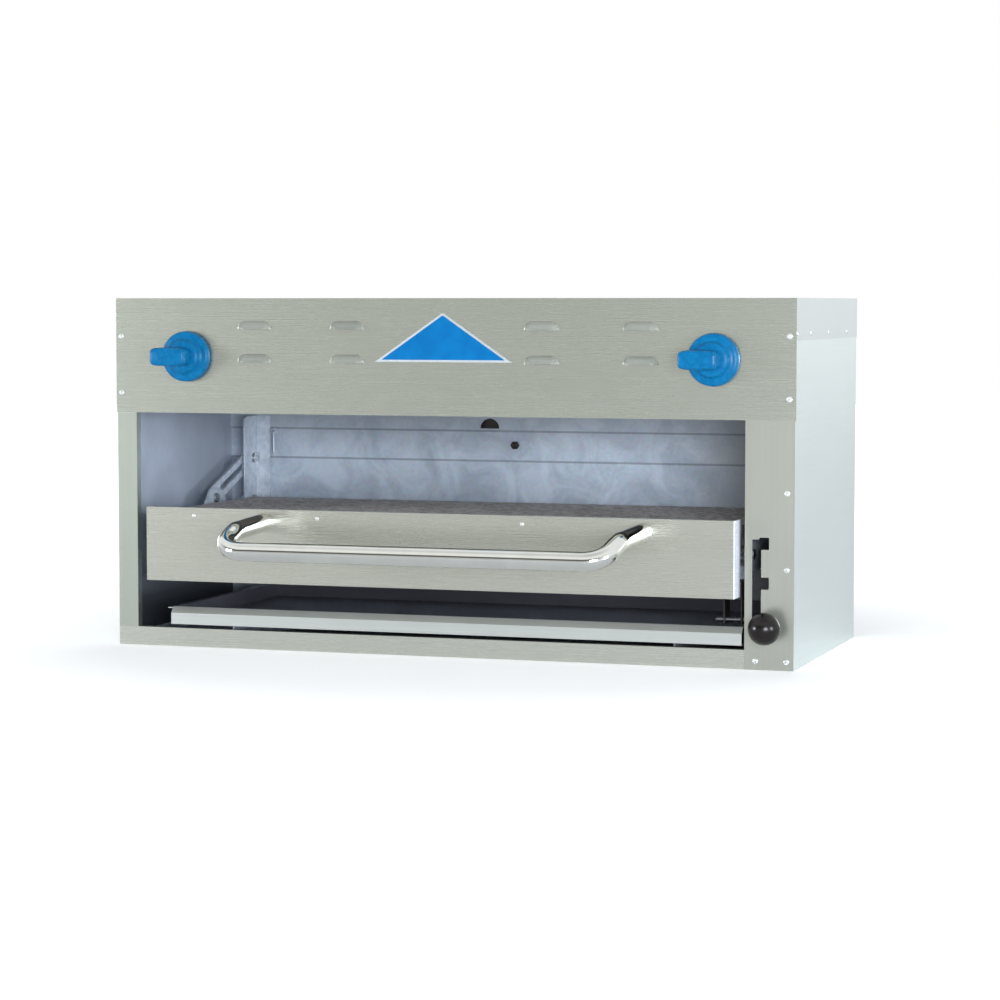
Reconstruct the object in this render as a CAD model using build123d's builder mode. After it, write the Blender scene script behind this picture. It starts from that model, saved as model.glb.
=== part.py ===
from build123d import *
import math
import os

# Gas cheese melter: a wide, low broiler cabinet with an open front.
# A broil rack rides on a carriage that swings up and down on parallel arms,
# and a ball knob in a notched slot holds it at one of three heights.
# Millimetres; origin at the middle of the underside, +Z up, front facing -Y.

os.makedirs("parts", exist_ok=True)

# ---------------------------------------------------------------- driving sizes
width = 914.4  # 36 in, over the lapped top cover
depth = 380.0
height = 458.0
sheet = 1.2  # stainless casing sheet
plate = 2.0  # brackets and carriage rails
seat = 0.3  # gap under parts that slide or roll on one another
running = 0.05  # radial clearance of a shaft in its hole

front = -depth / 2
back = depth / 2
half = width / 2
side_x = half - sheet  # outside of the side panels
inner_x = side_x - sheet  # inside of the side panels

panel_z = height - 150.0  # underside of the control panel
opening_left = 28.7 - half
opening_right = half - 63.2
rail_z = 24.0  # top of the bottom rail
hem = 12.0  # folded return of a sheet edge
lap = 52.0  # how far the top cover laps down the sides
liner_y = back - 11.8  # face of the back liner's top band

# ---------------------------------------------------------------- controls
knob_x = half - 103.0
knob_z = height - 76.0
knob_r = 33.0
knob_disc = 9.0
knob_gap = 2.5
knob_boss = 23.0
boss_depth = 8.0
grip_left = 38.0  # the pointer end, past the disc's edge
grip_right = 12.0
grip_height = 25.0
grip_depth = 38.0  # from the knob's back to the grip's face
stem_r = 4.0
louvre_x = (0.2865 * half, 0.5687 * half)
louvre_z = (height - 83.0, height - 40.0)
louvre_r = 12.0
louvre_sink = 5.0  # how far the scoop's centre line lies behind the face
louvre_width = 48.0
badge_half = 92.5
badge_z = height - 81.5
badge_height = 63.2

# ---------------------------------------------------------------- height gear
rack_mid = -10.2  # the rack and its carriage are centred on this X
pivot_y = 165.0
pivot_z = 230.0
arm_length = 144.0
arm_drop = 20.0  # degrees below level at rest
arm_space = 60.0  # upper arm above lower arm
arm_half = half - 46.2  # outside of the arms from the rack's middle
arm_clear = 6.0  # from the arms' outside to the outside of brackets and carriage rails
arm_width = 27.0
arm_thick = 3.0
pin_r = 5.0
pin_collar_r = 7.0
rail_half = arm_half - arm_clear
link_y = pivot_y - arm_length * math.cos(math.radians(arm_drop))
link_z = pivot_z - arm_length * math.sin(math.radians(arm_drop))
notch_pitch = arm_length * math.sin(math.radians(arm_drop))

slot_x = half - 53.7
slot_width = 11.3
notch_width = 9.8
notch_height = 15.0
notch_top = 163.8
slot_foot = 45.0
slot_drop = 2.4  # the channel's top below the top notch

# ---------------------------------------------------------------- rack
face_y = front - 20.0  # outside of the rack's front panel
face_left = rack_mid - arm_half + 15.2
face_right = rack_mid + arm_half - 14.8
face_foot = 88.5
face_top = 185.0
face_return = 30.0
grid_top = 176.0
wire_r = 2.5
wire_pitch = 13.0
cross_pitch = 112.0
cross_r = 3.0
rail_foot = 150.0
bar = 3.0
rack_back = 145.0
handle_r = 12.0
handle_base = (-241.0, 269.0)
handle_base_z = 168.0
handle_knee = (-243.0, 264.0)
handle_knee_reach = 85.0
handle_knee_z = 163.0
handle_corner = (-249.0, 251.0)
handle_reach = 128.0
handle_bar_z = 141.5
handle_bend = 30.0


def block(x0, x1, y0, y1, z0, z1, mode=Mode.ADD):
    """A straight-sided piece between two corners."""
    with Locations(((x0 + x1) / 2, (y0 + y1) / 2, (z0 + z1) / 2)):
        Box(x1 - x0, y1 - y0, z1 - z0, mode=mode)


def folded(points, thickness, side=Side.LEFT):
    """The section of a sheet folded along the points, thickened to one side."""
    with BuildLine() as section:
        Polyline(*points)
        offset(amount=thickness, side=side, kind=Kind.INTERSECTION)
    make_face(section.edges())


def finish(piece, name):
    """Name a piece and write it."""
    piece.part.label = name
    export_step(piece.part, "parts/" + name + ".step")


# ================================================================ casing
# Side panels: sheets with returns behind the front stiles and the back panel.
for label, hand in (("left_side_panel", -1), ("right_side_panel", 1)):
    with BuildPart() as side_panel:
        with BuildSketch(Plane.XY):
            folded(
                [
                    (hand * (side_x - hem), front + sheet),
                    (hand * side_x, front + sheet),
                    (hand * side_x, back - sheet),
                    (hand * (side_x - hem), back - sheet),
                ],
                sheet,
                Side.LEFT if hand > 0 else Side.RIGHT,
            )
        extrude(amount=height - sheet)
    finish(side_panel, label)

# Top cover: lapped down both sides, with a row of flue slots at the rear.
flue_slot = (52.0, 9.0)
flue_pitch = 70.0
flue_y = back - 34.0
with BuildPart() as top_cover:
    with BuildSketch(Plane.XZ.offset(-back)):
        folded([(-half, height - lap), (-half, height), (half, height), (half, height - lap)], sheet, Side.RIGHT)
    extrude(amount=depth - sheet)
    with BuildSketch(Plane.XY.offset(height)):
        with Locations((0, flue_y)):
            with GridLocations(flue_pitch, 2 * flue_slot[1], 11, 2):
                SlotOverall(*flue_slot)
    extrude(amount=-2 * sheet, mode=Mode.SUBTRACT)
finish(top_cover, "top_cover")

# Back panel: flat, with the gas entry hole and two rows of slots for air.
gas_x = 120.0
gas_z = height - 43.0
gas_hole_r = 21.0
with BuildPart() as back_panel:
    block(-side_x, side_x, back - sheet, back, 0, height - sheet)
    with BuildSketch(Plane.XZ.offset(-back)):
        with Locations((gas_x, gas_z)):
            Circle(gas_hole_r)
        with Locations((-gas_x, gas_z - 30)):
            with GridLocations(flue_pitch, 2 * flue_slot[1], 5, 2):
                SlotOverall(*flue_slot)
    extrude(amount=2 * sheet, mode=Mode.SUBTRACT)
finish(back_panel, "back_panel")

# Base pan: folded up at both sides inside the casing.
with BuildPart() as base_pan:
    with BuildSketch(Plane.XZ.offset(-back + 2 * sheet)):
        folded([(-inner_x, hem), (-inner_x, 0), (inner_x, 0), (inner_x, hem)], sheet, Side.LEFT)
    extrude(amount=depth - 4 * sheet)
    block(-width, width, liner_y, back, sheet, 2 * hem, mode=Mode.SUBTRACT)
finish(base_pan, "base_pan")

# A louvre's scoop: the upper half of a long rounded form, outside and inside.
louvre_straight = louvre_width - 2 * louvre_r
scoops = []
for radius in (louvre_r, louvre_r - sheet):
    with BuildPart() as scoop:
        Cylinder(radius, louvre_straight, rotation=(0, 90, 0))
        with Locations((-louvre_straight / 2, 0, 0), (louvre_straight / 2, 0, 0)):
            Sphere(radius)
        split(bisect_by=Plane.XY, keep=Keep.TOP)
    scoops.append(scoop.part)

# Control panel: folded in at its foot, with eight raised louvres and two knob holes.
stem_hole_r = 9.0
louvre_spots = []
for x in louvre_x:
    for z in louvre_z:
        louvre_spots.append((x, front + louvre_sink, z))
        louvre_spots.append((-x, front + louvre_sink, z))
with BuildPart() as control_panel:
    with BuildSketch(Plane.YZ.offset(-half)):
        folded([(front + hem, panel_z), (front, panel_z), (front, height)], sheet, Side.RIGHT)
    extrude(amount=width)
    with Locations(*louvre_spots):
        add(scoops[0])
    with Locations(*louvre_spots):
        add(scoops[1], mode=Mode.SUBTRACT)
    block(-half, half, front + sheet, front + 2 * louvre_r, panel_z + hem, height, mode=Mode.SUBTRACT)
    with BuildSketch(Plane.XZ.offset(-front - sheet)):
        with Locations((-knob_x, knob_z), (knob_x, knob_z)):
            Circle(stem_hole_r)
    extrude(amount=2 * sheet, mode=Mode.SUBTRACT)
    for x0, x1 in ((-half, opening_left), (opening_right, half)):
        block(x0, x1, front + sheet, front + 2 * hem, panel_z - 1, panel_z + 2 * sheet, mode=Mode.SUBTRACT)
finish(control_panel, "control_panel")

# Badge: a bare triangle with a raised rim round its edge.
badge_thick = 1.2
rim = 3.2
with BuildPart() as badge:
    with BuildSketch(Plane.XZ.offset(-front)) as badge_outline:
        with BuildLine():
            Polyline((-badge_half, badge_z), (badge_half, badge_z), (0, badge_z + badge_height), close=True)
        make_face()
        fillet(badge_outline.vertices(), radius=0.8)
    extrude(amount=badge_thick)
    with BuildSketch(Plane.XZ.offset(-front + badge_thick)):
        add(badge_outline.sketch_local)
        offset(amount=-rim, mode=Mode.SUBTRACT)
    extrude(amount=rim / 8)
finish(badge, "badge")

# Left stile, with its inner edge folded back.
with BuildPart() as left_stile:
    with BuildSketch(Plane.XY.offset(rail_z)):
        folded([(-side_x, front), (opening_left, front), (opening_left, front + hem)], sheet)
    extrude(amount=panel_z - rail_z)
finish(left_stile, "left_stile")

# Right stile: a long slot for the ball knob's rod, with three notches to the right.
notch_feet = [notch_top - notch_height - i * notch_pitch for i in range(3)]
with BuildPart() as right_stile:
    with BuildSketch(Plane.XY):
        folded([(side_x, front), (opening_right, front), (opening_right, front + hem)], sheet, Side.RIGHT)
    extrude(amount=panel_z)
    with BuildSketch(Plane.XZ.offset(-front - 2 * sheet)) as slot_outline:
        with Locations((slot_x + slot_width / 2, (slot_foot + notch_top - slot_drop) / 2)):
            Rectangle(slot_width, notch_top - slot_drop - slot_foot)
        for foot in notch_feet:
            with Locations((slot_x + slot_width + (notch_width - notch_width / 4) / 2, foot + notch_height / 2)):
                Rectangle(1.25 * notch_width, notch_height)
        fillet(slot_outline.vertices(), radius=1.0)
    extrude(amount=3 * sheet, mode=Mode.SUBTRACT)
    block(opening_right, opening_right + 2 * sheet, front + sheet, front + 2 * hem, -1, sheet, Mode.SUBTRACT)
finish(right_stile, "right_stile")

# Bottom rail, folded in along its top.
with BuildPart() as bottom_rail:
    with BuildSketch(Plane.YZ.offset(-side_x)):
        folded([(front, 0), (front, rail_z), (front + hem, rail_z)], sheet, Side.RIGHT)
    extrude(amount=side_x + opening_right)
    block(-side_x, opening_left, front + sheet, front + 2 * hem, rail_z - 2, rail_z + 2, mode=Mode.SUBTRACT)
finish(bottom_rail, "bottom_rail")

# Back liner: one sheet with two shallow steps, folded back over the flue at its top,
# with a half-round opening between two small lugs.
liner_step = 2.0
liner_top = panel_z - 8.0
lap_low = panel_z - 76.0
lap_high = panel_z - 34.0
arch_x = -60.0
arch_r = 14.0
arch_foot = panel_z - 32.0
liner_bolt_x = -23.0
liner_bolt_z = panel_z - 55.0
with BuildPart() as back_liner:
    with BuildSketch(Plane.YZ.offset(-inner_x)):
        folded(
            [
                (liner_y + 2 * liner_step, sheet),
                (liner_y + 2 * liner_step, lap_low),
                (liner_y + liner_step, lap_low),
                (liner_y + liner_step, lap_high),
                (liner_y, lap_high),
                (liner_y, liner_top),
                (back - 2 * sheet, liner_top),
            ],
            sheet,
            Side.RIGHT,
        )
    extrude(amount=2 * inner_x)
    with BuildSketch(Plane.XZ.offset(-liner_y + 1)):
        with Locations((arch_x, arch_foot)):
            Circle(arch_r)
        with Locations((arch_x, arch_foot - arch_r)):
            Rectangle(2 * arch_r, 2 * arch_r, mode=Mode.SUBTRACT)
    extrude(amount=-3 * sheet, mode=Mode.SUBTRACT)
    for hand in (-1, 1):
        lug_x = arch_x + hand * (arch_r + 3.5)
        block(lug_x - 3.5, lug_x + 3.5, liner_y - sheet, liner_y, arch_foot, arch_foot + 7.0)
finish(back_liner, "back_liner")

# Hex bolt in the liner, and a wire clip on its left with an eye at each end.
with BuildPart() as liner_bolt:
    with BuildSketch(Plane.XZ.offset(-liner_y - liner_step)):
        with Locations((liner_bolt_x, liner_bolt_z)):
            RegularPolygon(6.0, 6)
    extrude(amount=4.0)
finish(liner_bolt, "liner_bolt")

clip_x = opening_left + 42.5
clip_low = lap_low + 4.0
clip_high = lap_high - 6.0
clip_wire = 1.4
clip_reach = 5.0
with BuildPart() as liner_clip:
    with BuildLine() as clip_line:
        FilletPolyline(
            (clip_x, liner_y + liner_step, clip_low),
            (clip_x, liner_y - clip_reach, clip_low),
            (clip_x, liner_y - clip_reach, clip_high),
            (clip_x, liner_y + liner_step, clip_high),
            radius=2.5,
        )
    with BuildSketch(Plane(clip_line.line @ 0, z_dir=clip_line.line % 0)):
        Circle(clip_wire)
    sweep()
    for z in (clip_low, clip_high):
        with Locations((clip_x, liner_y + liner_step - 0.8, z)):
            Cylinder(4.0, 1.6, rotation=(90, 0, 0))
finish(liner_clip, "liner_clip")

# Tray guides: two Z-shaped runners standing on the base pan.
guide_x = 300.0
guide_top = 30.0
guide_foot = 14.0
with BuildPart() as tray_guides:
    with BuildSketch(Plane.XZ.offset(-back + 25)):
        for hand in (-1, 1):
            x = hand * guide_x
            folded([(x - guide_foot, sheet), (x, sheet), (x, guide_top), (x + guide_foot, guide_top)], sheet)
    extrude(amount=depth - 45)
    block(-width, width, front, back, 0, sheet, mode=Mode.SUBTRACT)
    block(-width, width, front, back, guide_top, 2 * guide_top, mode=Mode.SUBTRACT)
finish(tray_guides, "tray_guides")

# ================================================================ burners and gas
deck_z = panel_z + sheet
burner_x = 205.0
burner_y = -12.0
burner_width = 370.0
burner_depth = 132.0
burner_lip = 12.0
venturi_r = 14.0
burner_height = knob_z - venturi_r - deck_z - sheet  # brings the venturi level with the valve
with BuildPart() as burner_deck:
    with BuildSketch(Plane.XZ.offset(-liner_y + sheet)):
        folded([(-inner_x, deck_z + 24), (-inner_x, deck_z), (inner_x, deck_z), (inner_x, deck_z + 24)], sheet)
    extrude(amount=liner_y - sheet - front - hem - 2)
    with BuildSketch(Plane.XY.offset(deck_z - 1)):
        with Locations((-burner_x, burner_y), (burner_x, burner_y)):
            RectangleRounded(burner_width, burner_depth, 6)
        with Locations((0, burner_y)):
            Circle(4.5)
    extrude(amount=4, mode=Mode.SUBTRACT)
finish(burner_deck, "burner_deck")

# Burner bodies: pressed boxes with a flange on the deck, open below for the tiles.
venturi_z = knob_z
duct_y = 36.0
for label, x in (("burner_body_left", -burner_x), ("burner_body_right", burner_x)):
    duct_x = math.copysign(knob_x, x)
    with BuildPart() as burner_body:
        with BuildSketch(Plane.XY.offset(deck_z + sheet)):
            with Locations((x, burner_y)):
                RectangleRounded(burner_width + 2 * burner_lip, burner_depth + 2 * burner_lip, 10)
        extrude(amount=1.6)
        with BuildSketch(Plane.XY.offset(deck_z + sheet)):
            with Locations((x, burner_y)):
                RectangleRounded(burner_width, burner_depth, 10)
        extrude(amount=burner_height, taper=6)
        top_edges = burner_body.faces().sort_by(Axis.Z)[-1].edges()
        fillet(top_edges, radius=5)
        with BuildSketch(Plane.XY.offset(deck_z + sheet)):
            with Locations((x, burner_y)):
                RectangleRounded(burner_width - 6, burner_depth - 6, 6)
        extrude(amount=burner_height - 5, taper=6, mode=Mode.SUBTRACT)
        with Locations((duct_x, duct_y, deck_z + sheet + burner_height)):
            Cylinder(venturi_r - 2, 16, mode=Mode.SUBTRACT)
    finish(burner_body, label)

# Ceramic tiles: four to a burner, grooved underneath.
tile_count = 4
tile_thick = 13.0
tile_gap = 1.0
tile_width = (burner_width - 14) / tile_count - tile_gap
tile_depth = burner_depth - 14
with BuildPart() as burner_tiles:
    for x in (-burner_x, burner_x):
        with Locations((x, burner_y, deck_z + sheet + tile_thick / 2)):
            with GridLocations(tile_width + tile_gap, 1, tile_count, 1):
                Box(tile_width, tile_depth, tile_thick)
    with Locations((0, burner_y, deck_z + sheet)):
        with GridLocations(1, 12.0, 1, 9):
            Box(2 * (burner_x + burner_width), 2.0, 3.0, mode=Mode.SUBTRACT)
finish(burner_tiles, "burner_tiles")

# Tile clips: two channels that hold each burner's tiles from the deck's edge.
with BuildPart() as tile_clips:
    for x in (-burner_x, burner_x):
        for hand in (-1, 1):
            y = burner_y + hand * (burner_depth / 2 - 5)
            block(x - burner_width / 2 + 10, x + burner_width / 2 - 10, y - 5, y + 5, deck_z, deck_z + sheet)
finish(tile_clips, "tile_clips")

# Venturi tubes: a bell at the front, a plain tube, and an elbow down into the burner.
venturi_front = front + 68.0
for label, x in (("venturi_left", -knob_x), ("venturi_right", knob_x)):
    with BuildPart() as venturi:
        with BuildSketch(Plane.YZ.offset(x)):
            with BuildLine():
                Polyline(
                    (venturi_front, venturi_z),
                    (venturi_front, venturi_z + venturi_r + 4),
                    (venturi_front + 14, venturi_z + venturi_r + 4),
                    (venturi_front + 34, venturi_z + venturi_r - 3),
                    (venturi_front + 60, venturi_z + venturi_r),
                    (duct_y + venturi_r, venturi_z + venturi_r),
                    (duct_y + venturi_r, venturi_z),
                    close=True,
                )
            make_face()
        revolve(axis=Axis((x, 0, venturi_z), (0, 1, 0)))
        with Locations((x, duct_y, venturi_z - venturi_r / 2)):
            Cylinder(venturi_r, venturi_r)
        with Locations((x, (venturi_front + duct_y) / 2 - 2, venturi_z)):
            Cylinder(venturi_r - 5, duct_y - venturi_front + 8, rotation=(90, 0, 0), mode=Mode.SUBTRACT)
        with Locations((x, duct_y, venturi_z - venturi_r / 2 - 3)):
            Cylinder(venturi_r - 3, venturi_r + 4, mode=Mode.SUBTRACT)
    finish(venturi, label)

# Valve bodies: a block on the manifold, a nose for the stem and a spud towards the venturi.
valve_half = 16.0
valve_front = front + 14.0
valve_back = valve_front + 2 * valve_half
valve_nose_r = 8.0
pipe_r = 10.6
pipe_overhang = 30.0
pipe_y = front + 32.0
stem_back = front + 22.0
with BuildPart() as valve_bodies:
    for x in (-knob_x, knob_x):
        block(x - valve_half, x + valve_half, valve_front, valve_back, knob_z - valve_half, knob_z + valve_half)
        with BuildSketch(Plane.XZ.offset(-front - 15)):
            with Locations((x, knob_z)):
                Circle(valve_nose_r)
        extrude(amount=15 - sheet)
        with BuildSketch(Plane.XZ.offset(-valve_back)):
            with Locations((x, knob_z)):
                Circle(6.5)
        extrude(amount=-(venturi_front - valve_back - 4))
        with Locations((x, pipe_y, (knob_z + 14 + gas_z - pipe_r) / 2)):
            Cylinder(9.0, gas_z - pipe_r - knob_z - 14)
        with Locations((x, (front + stem_back) / 2, knob_z)):
            Cylinder(stem_r + running, stem_back - front, rotation=(90, 0, 0), mode=Mode.SUBTRACT)
finish(valve_bodies, "valve_bodies")

# Gas manifold: a pipe across both valves, fed from a threaded socket at the back.
socket_r = 17.5
socket_bore = 12.2
socket_length = 30.0
socket_mouth = back - 2.0
with BuildPart() as gas_manifold:
    with Locations((0, pipe_y, gas_z)):
        Cylinder(pipe_r, 2 * (knob_x + pipe_overhang), rotation=(0, 90, 0))
    with BuildSketch(Plane.XZ.offset(-pipe_y)):
        with Locations((gas_x, gas_z)):
            Circle(pipe_r)
    extrude(amount=-(socket_mouth - socket_length + 4 - pipe_y))
    with BuildSketch(Plane.XZ.offset(-socket_mouth)):
        with Locations((gas_x, gas_z)):
            Circle(socket_r)
    extrude(amount=socket_length)
    with BuildSketch(Plane.XZ.offset(-socket_mouth)):
        with Locations((gas_x, gas_z)):
            Circle(socket_bore)
    extrude(amount=20, mode=Mode.SUBTRACT)
    for x in (-knob_x, knob_x):
        block(x - 9.5, x + 9.5, pipe_y - pipe_r, pipe_y + pipe_r, gas_z - 2 * pipe_r, gas_z - pipe_r, Mode.SUBTRACT)
finish(gas_manifold, "gas_manifold")

# Pilot: a tip standing through the deck between the burners, fed by a thin tube.
with BuildPart() as pilot_burner:
    with Locations((0, burner_y, deck_z + 12)):
        Cylinder(4.5, 36)
    with Locations((0, burner_y, deck_z + sheet + 2)):
        Cylinder(7.5, 4.0)
finish(pilot_burner, "pilot_burner")

pilot_tube_z = deck_z + 26
with BuildPart() as pilot_tube:
    with BuildLine() as pilot_line:
        FilletPolyline(
            (0, burner_y - 4.5, pilot_tube_z),
            (0, pipe_y + 40, pilot_tube_z),
            (0, pipe_y + 40, gas_z),
            (0, pipe_y + pipe_r, gas_z),
            radius=12,
        )
    with BuildSketch(Plane(pilot_line.line @ 0, z_dir=pilot_line.line % 0)):
        Circle(2.5)
    sweep()
finish(pilot_tube, "pilot_tube")

# Heat shield between the burners and the valves, with two holes for the venturi bells.
shield_y = venturi_front - 3.0
with BuildPart() as heat_shield:
    foot_z = deck_z + sheet
    with BuildSketch(Plane.YZ.offset(sheet - inner_x)):
        folded([(shield_y + hem, foot_z), (shield_y, foot_z), (shield_y, height - sheet)], sheet, Side.RIGHT)
    extrude(amount=2 * (inner_x - sheet))
    with BuildSketch(Plane.XZ.offset(-shield_y - 4)):
        with Locations((-knob_x, venturi_z), (knob_x, venturi_z)):
            Circle(venturi_r)
        with Locations((gas_x, gas_z)):
            Circle(pipe_r + 1.5)
        with Locations((0, pilot_tube_z)):
            Circle(8)
        with Locations((0, gas_z)):
            Circle(8)
    extrude(amount=10, mode=Mode.SUBTRACT)
finish(heat_shield, "heat_shield")

# Valve stems and knobs: a disc with a grip bar across it.
knob_back = front - knob_gap
for hand, side in ((-1, "left"), (1, "right")):
    x = hand * knob_x
    with BuildPart() as valve_stem:
        with BuildSketch(Plane.XZ.offset(-stem_back + 0.5)):
            with Locations((x, knob_z)):
                Circle(stem_r)
        extrude(amount=stem_back - 0.5 - knob_back + 14)
    finish(valve_stem, "valve_stem_" + side)

    with BuildPart() as knob:
        with BuildSketch(Plane.XZ.offset(-knob_back)):
            with Locations((x, knob_z)):
                Circle(knob_r)
        extrude(amount=knob_disc, taper=4)
        fillet(knob.faces().sort_by(Axis.Y)[0].edges(), radius=2.5)
        with BuildSketch(Plane.XZ.offset(-knob_back + knob_disc)):
            with Locations((x, knob_z)):
                Circle(knob_boss)
        extrude(amount=boss_depth, taper=20)
        fillet(knob.faces().sort_by(Axis.Y)[0].edges(), radius=3)
        with BuildSketch(Plane.XZ.offset(-knob_back + knob_disc - 3)):
            with Locations((x + (grip_right - grip_left) / 2, knob_z)):
                RectangleRounded(grip_left + grip_right, grip_height, 9)
        extrude(amount=grip_depth - knob_disc + 3, taper=3)
        fillet(knob.faces().sort_by(Axis.Y)[0].edges(), radius=3)
        with BuildSketch(Plane.XZ.offset(-knob_back)):
            with Locations((x, knob_z)):
                Circle(stem_r + running)
        extrude(amount=14.5, mode=Mode.SUBTRACT)
    finish(knob, "knob_" + side)

# ================================================================ lift linkage
# Rear brackets: an angle on the back liner, its free wing carrying both arm pivots.
bracket_foot = pivot_z - 126.0
bracket_top = pivot_z + 60.0
bracket_front = pivot_y - 33.0
bracket_wing = 22.0
lower_z = pivot_z - arm_space
for side, hand in (("left", -1), ("right", 1)):
    wing_x = rack_mid + hand * rail_half
    with BuildPart() as arm_bracket:
        with BuildSketch(Plane.XY.offset(bracket_foot)):
            folded(
                [(wing_x, bracket_front), (wing_x, liner_y), (wing_x - hand * bracket_wing, liner_y)],
                plate,
                Side.LEFT if hand > 0 else Side.RIGHT,
            )
        extrude(amount=bracket_top - bracket_foot)
        front_edges = arm_bracket.edges().filter_by(Axis.X).group_by(Axis.Y)[0]
        fillet(front_edges, radius=10)
        with BuildSketch(Plane.YZ.offset(wing_x - 2 * plate)):
            with Locations((pivot_y, pivot_z), (pivot_y, lower_z)):
                Circle(pin_r + running)
        extrude(amount=4 * plate, mode=Mode.SUBTRACT)
    finish(arm_bracket, "arm_bracket_" + side)

# The wing's thickness lies inwards of rail_half for both brackets and carriage rails.
arm_gap = arm_half - arm_thick - rail_half


def link_pin(hand, y, z):
    """A stepped pin: head inside the plate, collar, journal in the arm, and end cap."""
    start = rail_half - plate
    steps = [
        (start - 3.0, pin_collar_r),
        (start, pin_r),
        (rail_half, pin_collar_r),
        (arm_half - arm_thick - seat, pin_r),
        (arm_half + seat, pin_collar_r),
        (arm_half + seat + 3.0, 0.0),
    ]
    outline = [(steps[0][0], 0.0)]
    for (x0, r0), (x1, r1) in zip(steps, steps[1:]):
        outline.append((x0, r0))
        outline.append((x1, r0))
    outline.append((steps[-1][0], 0.0))
    with BuildSketch(Plane.XY.offset(z)) as profile:
        with BuildLine():
            Polyline(*[(rack_mid + hand * px, y + r) for px, r in outline], close=True)
        make_face()
    revolve(profile.sketch, axis=Axis((0, y, z), (1, 0, 0)))


with BuildPart() as bracket_pins:
    for hand in (-1, 1):
        link_pin(hand, pivot_y, pivot_z)
        link_pin(hand, pivot_y, lower_z)
finish(bracket_pins, "bracket_pins")

with BuildPart() as carriage_pins:
    for hand in (-1, 1):
        link_pin(hand, link_y, link_z)
        link_pin(hand, link_y, link_z - arm_space)
finish(carriage_pins, "carriage_pins")

# Arms: flat links with rounded ends and a lightening slot.
for level, drop in (("upper", 0.0), ("lower", arm_space)):
    for side, hand in (("left", -1), ("right", 1)):
        inner_face = rack_mid + hand * arm_half - (0 if hand < 0 else arm_thick)
        with BuildPart() as arm:
            with BuildSketch(Plane.YZ.offset(inner_face)):
                with Locations(
                    Location(((pivot_y + link_y) / 2, (pivot_z + link_z) / 2 - drop, 0), (0, 0, arm_drop))
                ):
                    SlotCenterToCenter(arm_length, arm_width)
                    SlotCenterToCenter(arm_length - 64, 10, mode=Mode.SUBTRACT)
                with Locations((pivot_y, pivot_z - drop), (link_y, link_z - drop)):
                    Circle(pin_r + running, mode=Mode.SUBTRACT)
            extrude(amount=arm_thick)
        finish(arm, level + "_arm_" + side)

# ================================================================ carriage
track_z = 147.0
track_height = 22.5
track_lip = 9.0
track_front = -140.0
carriage_front = -166.0
carriage_back = 128.0
web_foot = 106.0
web_top = 194.0
roller_r = 10.0
roller_y = -152.0
roller_z = rail_foot - seat - roller_r
axle_r = 4.0
rack_roller_r = 11.0
rack_roller_y = 112.0
rack_roller_z = track_z + seat + rack_roller_r
rack_rail_half = rail_half - 12.0  # outside of the rack's side bars from its middle
for side, hand in (("left", -1), ("right", 1)):
    web_out = rack_mid + hand * rail_half
    web_in = rack_mid + hand * (rail_half - plate)
    lip_in = rack_mid + hand * (rail_half - plate - track_lip)
    with BuildPart() as carriage_rail:
        with BuildSketch(Plane.YZ.offset(min(web_out, web_in))) as web:
            with BuildLine():
                FilletPolyline(
                    (carriage_front, 118.0),
                    (carriage_front, track_z + track_height + 2),
                    (link_y - 40, track_z + track_height + 2),
                    (link_y - 16, web_top),
                    (link_y + 16, web_top),
                    (link_y + 40, track_z + track_height + 2),
                    (carriage_back, track_z + track_height + 2),
                    (carriage_back, track_z - 2),
                    (link_y + 46, track_z - 2),
                    (link_y + 18, web_foot),
                    (link_y - 18, web_foot),
                    (link_y - 46, track_z - 30),
                    radius=5,
                    close=True,
                )
            make_face()
            with Locations((link_y, link_z), (link_y, link_z - arm_space)):
                Circle(pin_r + running, mode=Mode.SUBTRACT)
            with Locations((roller_y, roller_z)):
                Circle(axle_r + running, mode=Mode.SUBTRACT)
        extrude(amount=plate)
        x0, x1 = sorted((web_in, lip_in))
        block(x0, x1, track_front, carriage_back - 6, track_z - plate, track_z)
        block(x0, x1, track_front, carriage_back - 6, track_z + track_height, track_z + track_height + plate)
    finish(carriage_rail, "carriage_rail_" + side)

# Cross bars: two angles below the rack that keep both rails together.
bar_leg = 16.0
bar_foot = 108.0
front_bar_y = -150.0
rear_bar_y = 80.0
with BuildPart() as carriage_cross_bars:
    for y in (front_bar_y, rear_bar_y):
        with BuildSketch(Plane.YZ.offset(rack_mid - rail_half + plate)):
            folded([(y, bar_foot + bar_leg), (y, bar_foot), (y + bar_leg, bar_foot)], plate)
        extrude(amount=2 * (rail_half - plate))
    for hand in (-1, 1):
        x0, x1 = sorted((rack_mid + hand * (rail_half - plate), rack_mid + hand * (rail_half - plate - 8)))
        block(x0, x1, rear_bar_y - plate, rear_bar_y, bar_foot + 2, track_z - plate)
finish(carriage_cross_bars, "carriage_cross_bars")

# Track rollers at the carriage's front, each with a flange that guides the rack's side bar.
with BuildPart() as track_rollers:
    for hand in (-1, 1):
        base = rack_mid + hand * (rail_half - plate - seat)
        outline = [
            (0.0, axle_r + running),
            (0.0, roller_r + 3),
            (6.0, roller_r + 3),
            (8.0, roller_r),
            (14.0, roller_r),
            (14.0, axle_r + running),
        ]
        with BuildSketch(Plane.XY.offset(roller_z)):
            with BuildLine():
                Polyline(*[(base - hand * a, roller_y + r) for a, r in outline], close=True)
            make_face()
        revolve(axis=Axis((0, roller_y, roller_z), (1, 0, 0)))
finish(track_rollers, "track_rollers")

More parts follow.
